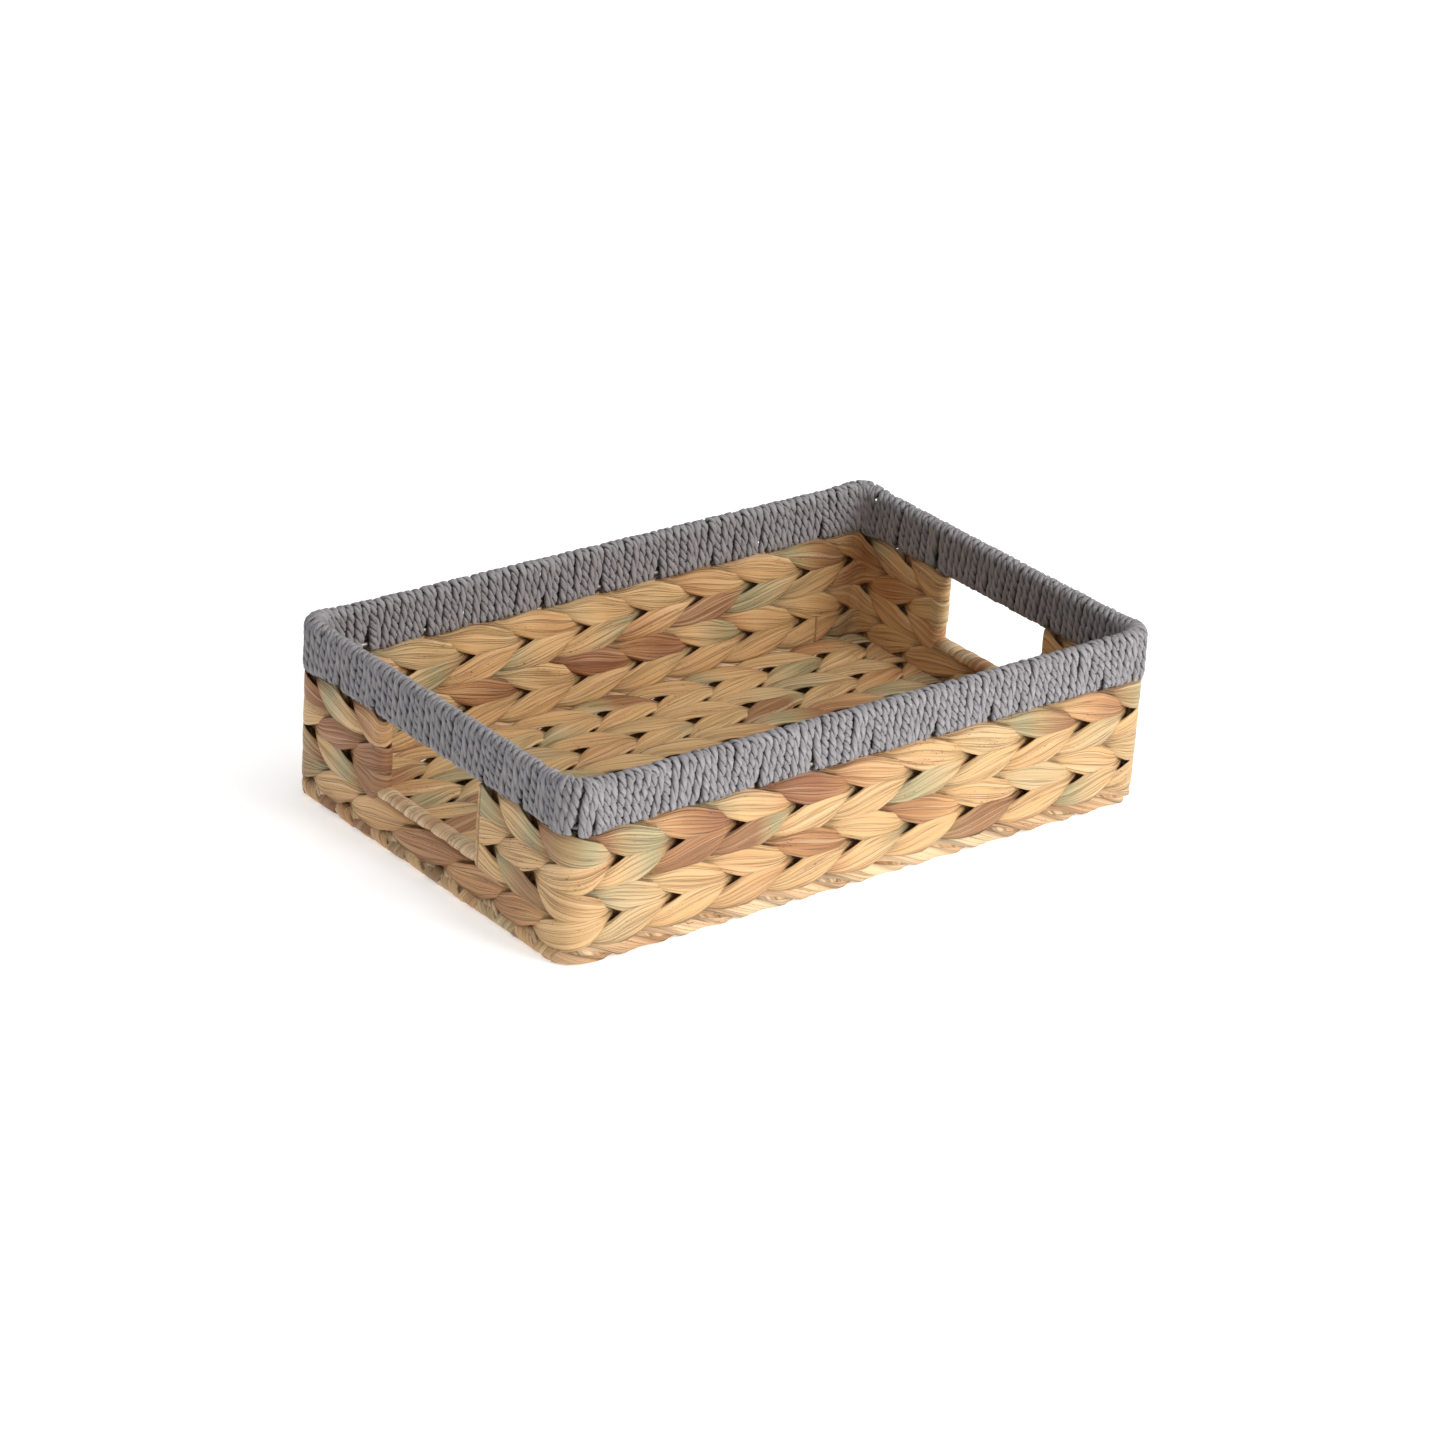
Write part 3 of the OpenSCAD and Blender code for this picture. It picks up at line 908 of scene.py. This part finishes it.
@dataclass
class WallRows:
    """The four twined rows of the walls; the upper three turn back at the hand openings."""

    wires: WireFrame
    rows: int = 4
    ring_step: float = 1.6 * MM
    fold_steps: int = 14
    fold_narrow: float = 0.22
    fold_puff: float = 0.45
    fold_proud: float = 3.2 * MM
    fold_slant: float = 1.6 * MM
    strip: TwinedStrip = field(default_factory=lambda: TwinedStrip(
        "wall", HyacinthStrip(), wide=10.3 * MM, narrow=3.1 * MM, thin=2.4 * MM, thick=5.0 * MM,
        reach=3.8 * MM, climb=3.75 * MM, depth=5.8 * MM, roll=0.0, sway=0.12, leaf=1.0, seam=8.6 * MM,
        box=0.8, crease_mm=2.2, hue_run=0.2))

    def middle(self, row: int) -> float:
        """Height of a row's middle, read from its CAD node."""
        low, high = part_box(f"front_row_{row}")
        return (low.z + high.z) / 2

    def course(self, stops: np.ndarray, z: float, first: float) -> tuple:
        """One stretch of a row from its first stop to its last, seen from outside.

        Args:
            stops: lengths along the outline where it passes a wire, rising or falling.
            z: the row's height.
            first: half turns made before the first stop.

        Returns:
            Points, outward and up vectors, turns, girths and puffs.
        """
        places = steps_between(stops[0], stops[-1], self.ring_step)
        points, outward = self.wires.outline.at(places)
        points[:, 2] = z
        if stops[-1] < stops[0]:
            outward = -outward
        even = np.ones(len(places))
        turns = half_turns(places, stops, first)
        return points, outward, np.tile([0.0, 0.0, 1.0], (len(places), 1)), turns, even, even

    def fold(self, stop: float, z: float, turns: float, onward: float) -> tuple:
        """The strip's way round an opening post, from one side of the wall to the other.

        Args:
            stop: length along the outline to the post.
            z: the row's height.
            turns: half turns made by then.
            onward: 1 at the end of an outward stretch, -1 at the end of the stretch back.

        Returns:
            Points, outward and up vectors, turns, girths and puffs.
        """
        angle = steps_between(0, math.pi, math.pi / self.fold_steps)
        point, normal = self.wires.outline.at(np.array([stop]))
        tangent = np.array([-normal[0, 1], normal[0, 0], 0.0])
        bow = np.sin(angle)
        ahead = (np.cos(angle)[:, None] * normal + bow[:, None] * tangent) * onward
        rng = np.random.default_rng(int(abs(stop) * 1e4 + z * 1e6))
        proud, slant = rng.uniform(0.0, self.fold_proud), rng.uniform(-self.fold_slant, self.fold_slant)
        points = point + tangent * onward * proud * bow[:, None]
        points[:, 2] = z + slant * np.sin(2 * angle)
        return (points, ahead, np.tile([0.0, 0.0, 1.0], (len(angle), 1)), np.full(len(angle), turns),
                1 - self.fold_narrow * bow, 1 + self.fold_puff * bow)

    def loop(self, row: int, back: bool) -> Guide:
        """The single looped strip of an upper row on one half of the basket.

        Args:
            row: the row, counted from the rim.
            back: the back half of the basket instead of the front half.

        Returns:
            Its closed guide.
        """
        stops, z = self.wires.half_stops(back), self.middle(row)
        bays = len(stops) - 1
        parts = [self.course(stops, z, 0.0), self.fold(stops[-1], z, bays, 1.0),
                 self.course(stops[::-1], z, bays), self.fold(stops[0], z, 2 * bays, -1.0)]
        points, outward, up, turns, girth, puff = joined(parts)
        turn = turns * math.pi * self.way(row)
        return Guide(points, outward, up, turn, row * 2.0 + back, True, girth, puff)

    def way(self, row: int) -> float:
        """Which way a row twists; neighbours twist opposite ways, which makes the chevrons."""
        return 1.0 if row % 2 == 0 else -1.0

    def ring(self, row: int) -> list[Guide]:
        """The two strips of a row that runs right round.

        Args:
            row: the row, counted from the rim.

        Returns:
            Their closed guides.
        """
        stops = self.wires.ring_stops()
        stops = np.append(stops, stops[0] + self.wires.outline.length)
        guides = []
        for strand in (0, 1):
            points, outward, up, turns, _, _ = self.course(stops, self.middle(row), float(strand))
            turn = turns * math.pi * self.way(row)
            guides.append(Guide(points, outward, up, turn, FirstStrand.WALL_RING.value + strand, closed=True))
        return guides

    def build(self) -> None:
        """Weave every row."""
        for row in range(1, self.rows):
            for back, half in ((False, "front"), (True, "back")):
                nodes = [f"{half}_row_{row}", f"left_{half}_row_{row}", f"right_{half}_row_{row}"]
                self.strip.seed = row * 3.0 + back
                self.strip.draw(f"wall_row_{row}_{half}", [self.loop(row, back)], "wall_strip", nodes)
        self.strip.seed = 40.0
        self.strip.draw(f"wall_row_{self.rows}_round", self.ring(self.rows), "wall_strip",
                        [f"{side}_row_{self.rows}" for side in ("front", "back", "left", "right")])


@dataclass
class BaseRows:
    """The base: twined pairs that run the long way, loop round the end wires and lie over cross wires."""

    wires: WireFrame
    pairs: int = 7
    ring_step: float = 1.6 * MM
    fold_steps: int = 14
    fold_narrow: float = 0.24
    fold_puff: float = 0.5
    fold_slant: float = 2.0 * MM
    fold_lift: float = 0.5 * MM
    strip: TwinedStrip = field(default_factory=lambda: TwinedStrip(
        "base", HyacinthStrip(), wide=10.9 * MM, narrow=3.5 * MM, thin=2.3 * MM, thick=4.8 * MM,
        reach=3.6 * MM, climb=3.9 * MM, depth=6.3 * MM, roll=0.0, sway=0.12, leaf=1.0, seam=8.8 * MM,
        box=0.8, crease_mm=2.2, hue_run=0.2, hue_middle=0.6))

    def loop(self, y: float, way: float, strand: float) -> Guide:
        """One looped strip of the base.

        Args:
            y: the row's middle.
            way: 1 or -1, which way it twists.
            strand: the strip's number, which its grain and colour start from.

        Returns:
            Its closed guide.
        """
        end = self.wires.outline.half_x
        stops = np.array([-end, *self.wires.cross_x, end])
        bays = len(stops) - 1
        parts = []
        for first, marks, side in ((0.0, stops, 1.0), (float(bays), stops[::-1], -1.0)):
            x = steps_between(marks[0], marks[-1], self.ring_step)
            turns = half_turns(x, marks, first)
            lift = np.interp(np.abs(x), [self.wires.cross_x[-1], end],
                             [self.wires.cross_z, self.wires.base_z])
            even = np.ones(len(x))
            parts.append((stack(x, y, lift), stack(0 * x, 0.0, side), stack(0 * x, 1.0, 0.0),
                          turns, even, even))
            angle = steps_between(0, math.pi, math.pi / self.fold_steps)
            slant = way * self.fold_slant * np.sin(2 * angle)
            bow = np.sin(angle)
            parts.append((stack(marks[-1], y + slant, self.wires.base_z + self.fold_lift * bow),
                          stack(side * bow, 0.0, side * np.cos(angle)), stack(0 * angle, 1.0, 0.0),
                          np.full(len(angle), first + bays),
                          1 - self.fold_narrow * bow, 1 + self.fold_puff * bow))
        points, outward, up, turns, girth, puff = joined(parts)
        return Guide(points, outward, up, turns * math.pi * way, strand, True, girth, puff)

    def build(self) -> None:
        """Weave the base, one piece for each pair of rows."""
        for pair in range(1, self.pairs + 1):
            low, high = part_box(f"base_pair_{pair}")
            quarter = (high.y - low.y) / 4
            middle = (high.y + low.y) / 2
            self.strip.seed = 60.0 + pair * 2.7
            strand = FirstStrand.BASE.value + 2 * pair
            guides = [self.loop(middle - quarter, 1.0, strand), self.loop(middle + quarter, -1.0, strand + 1)]
            self.strip.draw(f"base_rows_{pair}", guides, "base_strip", [f"base_pair_{pair}"])


@dataclass
class EdgeWraps:
    """The strips wound on the base wire and on the stakes and posts, up to the rim band or a grip bar."""

    wires: WireFrame
    lay: float = 38 * MM
    side_lay: float = 17 * MM
    ring_step: float = 1.6 * MM
    side_y: float = 108 * MM
    rope_lift: float = 0.6 * MM
    rope: TwinedStrip = field(default_factory=lambda: TwinedStrip(
        "base_edge", PaleHyacinth(), wide=5.6 * MM, narrow=5.6 * MM, thin=2.4 * MM, thick=2.4 * MM,
        reach=2.9 * MM, climb=2.9 * MM, depth=5.2 * MM, section=Section.WRAP, wander=0.3 * MM,
        crease=0.5 * MM, seed=5.0))
    side_rope: TwinedStrip = field(default_factory=lambda: TwinedStrip(
        "base_side_edge", PaleHyacinth(), wide=4.7 * MM, narrow=4.7 * MM, thin=3.3 * MM, thick=3.3 * MM,
        reach=2.6 * MM, climb=2.6 * MM, depth=5.2 * MM, section=Section.WRAP, vary=0.3, wander=1.2 * MM,
        crease=0.5 * MM, seed=5.0))
    sleeve: TwinedStrip = field(default_factory=lambda: TwinedStrip(
        "sleeve", PaleHyacinth(), wide=2.5 * MM, narrow=2.3 * MM, thin=2.2 * MM, thick=2.4 * MM,
        reach=0.0, climb=0.0, depth=20 * MM, section=Section.WRAP, wander=0.1 * MM, crease=0.3 * MM))
    sleeve_lay: float = 9 * MM
    sleeve_step: float = 3 * MM
    underwrap_lay: float = 7 * MM
    underwrap_r: float = 3.3 * MM

    def twist(self, start: float, end: float, strands: int, pitch: float, first: FirstStrand) -> list[Guide]:
        """Strips twisted about the base wire between two places on the outline.

        Args:
            start: length along the outline to their start.
            end: length to their end.
            strands: how many strips.
            pitch: length of half a turn.
            first: the first strip's number.

        Returns:
            Their guides.
        """
        places = steps_between(start, end, self.ring_step)
        points, outward = self.wires.outline.at(places)
        points[:, 2] = self.wires.base_z + self.rope_lift
        up = np.tile([0.0, 0.0, 1.0], (len(places), 1))
        return [Guide(points, outward, up, -(places / pitch + 2 * k / strands) * math.pi, first.value + k)
                for k in range(strands)]

    def sleeves(self) -> list[Guide]:
        """Thin strips wound on every stake and post, from the base edge to the rim band.

        Returns:
            One guide for each stake and post.
        """
        line, guides = self.wires.outline, []
        stops = [*self.wires.half_stops(False), *self.wires.half_stops(True)]
        tops = [self.wires.rim_low_z] * len(stops) + [self.wires.grip_z] * 2
        stops += [line.right(0.0), line.left(0.0)]
        for number, (stop, top) in enumerate(zip(stops, tops)):
            z = steps_between(self.wires.base_z, top, self.sleeve_step)
            point, outward = line.at(np.full(len(z), stop))
            point[:, 2] = z
            across = np.stack([-outward[:, 1], outward[:, 0], 0 * z], 1)
            guides.append(Guide(point, outward, -across, z / self.sleeve_lay * math.pi,
                                FirstStrand.SLEEVE.value + number))
        return guides

    def build(self) -> None:
        """Wind the base edge and the stakes."""
        line = self.wires.outline
        half, middle = line.right(-self.side_y), line.length / 2
        front = self.twist(-half, half, 2, self.lay, FirstStrand.FRONT_EDGE)
        self.rope.draw("base_edge_rope_front", front, "wrapping_strip",
                       ["base_edge_wrap_front", "base_edge_wrap_corners"])
        back = self.twist(middle - half, middle + half, 2, self.lay, FirstStrand.BACK_EDGE)
        self.rope.draw("base_edge_rope_back", back, "wrapping_strip",
                       ["base_edge_wrap_back", "base_edge_wrap_corners"])
        for side, place in (("right", line.right(0)), ("left", line.left(0))):
            strips = self.twist(place - self.side_y, place + self.side_y, 2, self.side_lay,
                                FirstStrand.SIDE_EDGE)
            self.side_rope.draw(f"base_edge_rope_{side}", strips, "wrapping_strip",
                                [f"base_edge_wrap_{side}"])
        self.sleeve.draw("stake_sleeves", self.sleeves(), "wrapping_strip", [])
        under = self.twist(0.0, line.length, 1, self.underwrap_lay, FirstStrand.UNDERWRAP)[0]
        under.closed = True
        same = dict.fromkeys(("wide", "narrow", "thin", "thick"), self.underwrap_r)
        replace(self.sleeve, **same).draw("base_wire_underwrap", [under], "wrapping_strip", [])


@dataclass
class GripWraps:
    """The strip wound on the low bar of each hand opening."""

    wires: WireFrame
    reach_y: float = 45 * MM
    pitch: float = 12.5 * MM
    bar_r: float = 3.5 * MM
    overlap: float = 1.232
    ring_step: float = 0.8 * MM

    def build(self) -> None:
        """Wind both bars."""
        slope = math.atan2(self.pitch, 2 * math.pi * self.bar_r)
        half_w = self.overlap * self.pitch / 2 * math.cos(slope)
        strip = WoundStrip("grip", PaleHyacinth(), self.bar_r, half_w, 0.7 * MM, slope)
        for side, way in (("left", -1.0), ("right", 1.0)):
            y = steps_between(-self.reach_y, self.reach_y, self.ring_step)
            x = way * self.wires.outline.half_x
            guide = Guide(stack(x + 0 * y, y, self.wires.grip_z), stack(0 * y + way, 0.0, 0.0),
                          stack(0 * y, 0.0, way), y / self.pitch * 2 * math.pi, FirstStrand.GRIP.value + way)
            strip.draw(f"grip_wrap_{side}", [guide], "wrapping_strip", [f"{side}_grip_wrap"])


@dataclass
class RimBand:
    """Two-ply paper cord wound turn by turn over both rim wires."""

    wires: WireFrame
    pitch: float = 4.55 * MM
    cord_thick: float = 2.9 * MM
    band_t: float = 9 * MM
    ring_step: float = 1.35 * MM
    ply_lay: float = 12.5 * MM
    gap_push: float = 3.6 * MM
    gap_high: float = 14 * MM
    lean: float = 1.3 * MM
    uneven_lay: float = 0.5
    corner_swell: float = 1.5 * MM
    corner_crowd: float = 0.55
    crowd_run: float = 11 * MM
    swell_run: float = 13 * MM
    gap_edge: float = 0.9 * MM
    gap_run: float = 5 * MM
    gap_below: float = 4 * MM
    drift: float = 0.5 * MM
    proud: float = 0.2 * MM
    pace_run: float = 30 * MM
    seed: int = 11
    ply: TwinedStrip = field(default_factory=lambda: TwinedStrip(
        "cord", PaperCord(), wide=1.85 * MM, narrow=1.85 * MM, thin=1.3 * MM, thick=1.3 * MM,
        reach=1.05 * MM, climb=1.05 * MM, depth=1.65 * MM, section=Section.PLY, vary=0.22,
        wander=0.3 * MM, crease=0.35 * MM, crease_mm=1.1))

    def path(self) -> tuple[np.ndarray, np.ndarray, np.ndarray]:
        """The cord's centre line from the front's middle right round the basket.

        Returns:
            Points, outward vectors and the place of each point along the outline.
        """
        line = self.wires.outline
        lift = self.wires.rim_high_z - self.wires.rim_low_z
        bend = (self.band_t - self.cord_thick) / 2
        once = 2 * lift + 2 * math.pi * bend
        turns = int(round(line.length / self.pitch))
        count = int(turns * once / self.ring_step)
        lap = np.linspace(0, turns, count + 1)
        rest = np.mod(lap, 1.0) * once
        rising = np.clip(rest, 0, lift)
        over = np.clip(rest - lift, 0, math.pi * bend) / bend
        falling = np.clip(rest - lift - math.pi * bend, 0, lift)
        under = np.clip(rest - 2 * lift - math.pi * bend, 0, math.pi * bend) / bend
        angle = over + under
        face = np.stack([np.cos(angle), np.sin(angle)], 1)
        z = self.wires.rim_low_z + rising - falling + bend * face[:, 1]
        rng = np.random.default_rng(self.seed)
        knots = rng.normal(0, 1, (3, 4 * turns + 4))
        quarter = np.arange(4 * turns + 4) / 4
        drift = np.interp(lap, quarter, knots[0]) * self.drift
        proud = np.interp(lap, quarter, knots[1]) * self.proud
        tip = np.interp(lap, quarter * 11, knots[2]) * self.lean
        drift += tip * (z - (self.wires.rim_low_z + self.wires.rim_high_z) / 2) / lift * face[:, 0]
        even = np.linspace(0, line.length, 4000)
        crowd = np.ones_like(even)
        for number in range(4):
            near = line.past(even, line.corner(number))
            crowd += self.corner_crowd * np.exp(-(near / self.crowd_run) ** 2)
        share = np.concatenate([[0.0], np.cumsum((crowd[1:] + crowd[:-1]) / 2)])
        place = np.interp(lap / turns, share / share[-1], even) + drift
        for number in range(4):
            near = line.past(place, line.corner(number))
            proud += self.corner_swell * np.exp(-(near / self.swell_run) ** 2)
        place += self.parting(place, z)
        points, normal = line.at(place)
        out = (bend + proud) * face[:, 0]
        points = points + normal * out[:, None]
        points[:, 2] = z + proud * face[:, 1]
        outward = normal * face[:, :1] + np.array([0.0, 0.0, 1.0]) * face[:, 1:]
        return points, outward, place

    def parting(self, place: np.ndarray, z: np.ndarray) -> np.ndarray:
        """How far turns stand aside along the rim where a stake comes up into the band.

        Args:
            place: each point's length along the outline.
            z: its height.

        Returns:
            The shift of each point along the outline.
        """
        line = self.wires.outline
        shift = np.zeros_like(place)
        stops = np.concatenate([self.wires.half_stops(False), self.wires.half_stops(True)])
        fade = np.clip(1 - (z - self.wires.rim_low_z + self.gap_below) / self.gap_high, 0, 1)
        strength = np.random.default_rng(self.seed + 1).uniform(0.35, 1.25, len(stops))
        for stop, push in zip(stops, strength):
            gap = line.past(place, stop)
            aside = np.tanh(gap / self.gap_edge) * np.exp(-np.abs(gap) / self.gap_run)
            shift += self.gap_push * push * aside * fade
        return shift

    def build(self) -> None:
        """Wind the band, one piece for each side of the basket."""
        points, outward, place = self.path()
        travel = np.gradient(points, axis=0)
        travel /= np.linalg.norm(travel, axis=1, keepdims=True)
        outward = outward - travel * (outward * travel).sum(1, keepdims=True)
        outward /= np.linalg.norm(outward, axis=1, keepdims=True)
        up = np.cross(outward, travel)
        run = run_along(points)
        rng = np.random.default_rng(self.seed + 2)
        knots = np.arange(0, run[-1] + self.pace_run, self.pace_run)
        pace = 1 + self.uneven_lay * np.interp(run, knots, rng.uniform(-1, 1, len(knots)))
        turn = np.cumsum(pace * np.gradient(run)) / self.ply_lay * 2 * math.pi
        line = self.wires.outline
        cuts = [int(np.argmax(place >= line.corner(number))) for number in range(4)]
        spans = {"right": [(cuts[0], cuts[1])], "back": [(cuts[1], cuts[2])], "left": [(cuts[2], cuts[3])],
                 "front": [(cuts[3], len(place) - 1), (0, cuts[0])]}
        for side, stretches in spans.items():
            guides = [Guide(points[a:b + 1], outward[a:b + 1], up[a:b + 1], turn[a:b + 1] + k * math.pi,
                            FirstStrand.CORD.value + k)
                      for a, b in stretches for k in (0, 1)]
            nodes = [f"rim_wrap_{side}"] + (["rim_wrap_corners"] if side in ("front", "back") else [])
            self.ply.draw(f"rim_cord_{side}", guides, "paper_cord", nodes)


# ---------------------------------------------------------------- studio


@dataclass
class Studio:
    """White paper floor, soft lights and the camera."""

    lens_mm: float = 120.4
    camera_place: tuple = (-1.4553, -1.7776, 1.1022)
    camera_right: tuple = (0.78951, -0.61095, 0.05843)
    camera_up: tuple = (0.21515, 0.36467, 0.90594)
    paper_size: float = 12.0
    aim_z: float = 0.04

    def floor(self) -> None:
        """Lay the paper under the basket."""
        mesh = bpy.data.meshes.new("studio_floor")
        half = self.paper_size / 2
        corners = [(-half, -half, 0), (half, -half, 0), (half, half, 0), (-half, half, 0)]
        mesh.from_pydata(corners, [], [(0, 1, 2, 3)])
        made = placed("studio_floor", mesh)
        made.data.materials.append(StudioPaper().build())

    def light(self, name: str, place: tuple, size: float, watts: float, shade: str) -> None:
        """Hang one square soft light that faces the basket.

        Args:
            name: the light's name.
            place: where it hangs.
            size: its side.
            watts: its power.
            shade: its colour.
        """
        lamp = bpy.data.lights.new(name, "AREA")
        lamp.size, lamp.energy, lamp.color = size, watts, linear(shade)[:3]
        made = placed(name, lamp)
        made.location = place
        made.rotation_mode = "QUATERNION"
        made.rotation_quaternion = (Vector((0, 0, self.aim_z)) - Vector(place)).to_track_quat("-Z", "Y")

    def camera(self) -> None:
        """Stand the camera where it looks down at the near corner."""
        right, up = Vector(self.camera_right).normalized(), Vector(self.camera_up)
        back = right.cross(up).normalized()
        up = back.cross(right)
        turn = Matrix((right, up, back)).transposed().to_4x4()
        data = bpy.data.cameras.new("camera")
        data.lens, data.sensor_width = self.lens_mm, 36.0
        data.clip_start, data.clip_end = 0.05, 50.0
        made = placed("camera", data)
        made.matrix_world = Matrix.Translation(self.camera_place) @ turn
        bpy.context.scene.camera = made

    def build(self) -> None:
        """Set up the floor, the lights, the white surroundings and the camera."""
        self.floor()
        self.light("key_front_right", place=(0.8, -2.0, 1.1), size=1.2, watts=43.0, shade="#FFFDFA")
        self.light("top", place=(0.2, -0.2, 2.0), size=1.4, watts=12.0, shade="#FFFFFF")
        world = bpy.data.worlds.new("white_surroundings")
        world.use_nodes = True
        world.node_tree.nodes.clear()
        sky = add(world.node_tree, "ShaderNodeBackground", {"Color": linear("#FFFFFF"), "Strength": 0.42})
        add(world.node_tree, "ShaderNodeOutputWorld", {"Surface": sky.outputs[0]})
        bpy.context.scene.world = world
        self.camera()
        bpy.context.scene.view_settings.view_transform = "Standard"


def main() -> None:
    """Build the basket's sub-assemblies in the order a maker would, then the studio."""
    logging.basicConfig(level=logging.INFO, format="%(name)s: %(message)s")
    wires = WireFrame()
    wires.dress()
    for part in (BaseRows, EdgeWraps, WallRows, GripWraps, RimBand):
        part(wires).build()
    Studio().build()


if __name__ == "__main__":
    main()
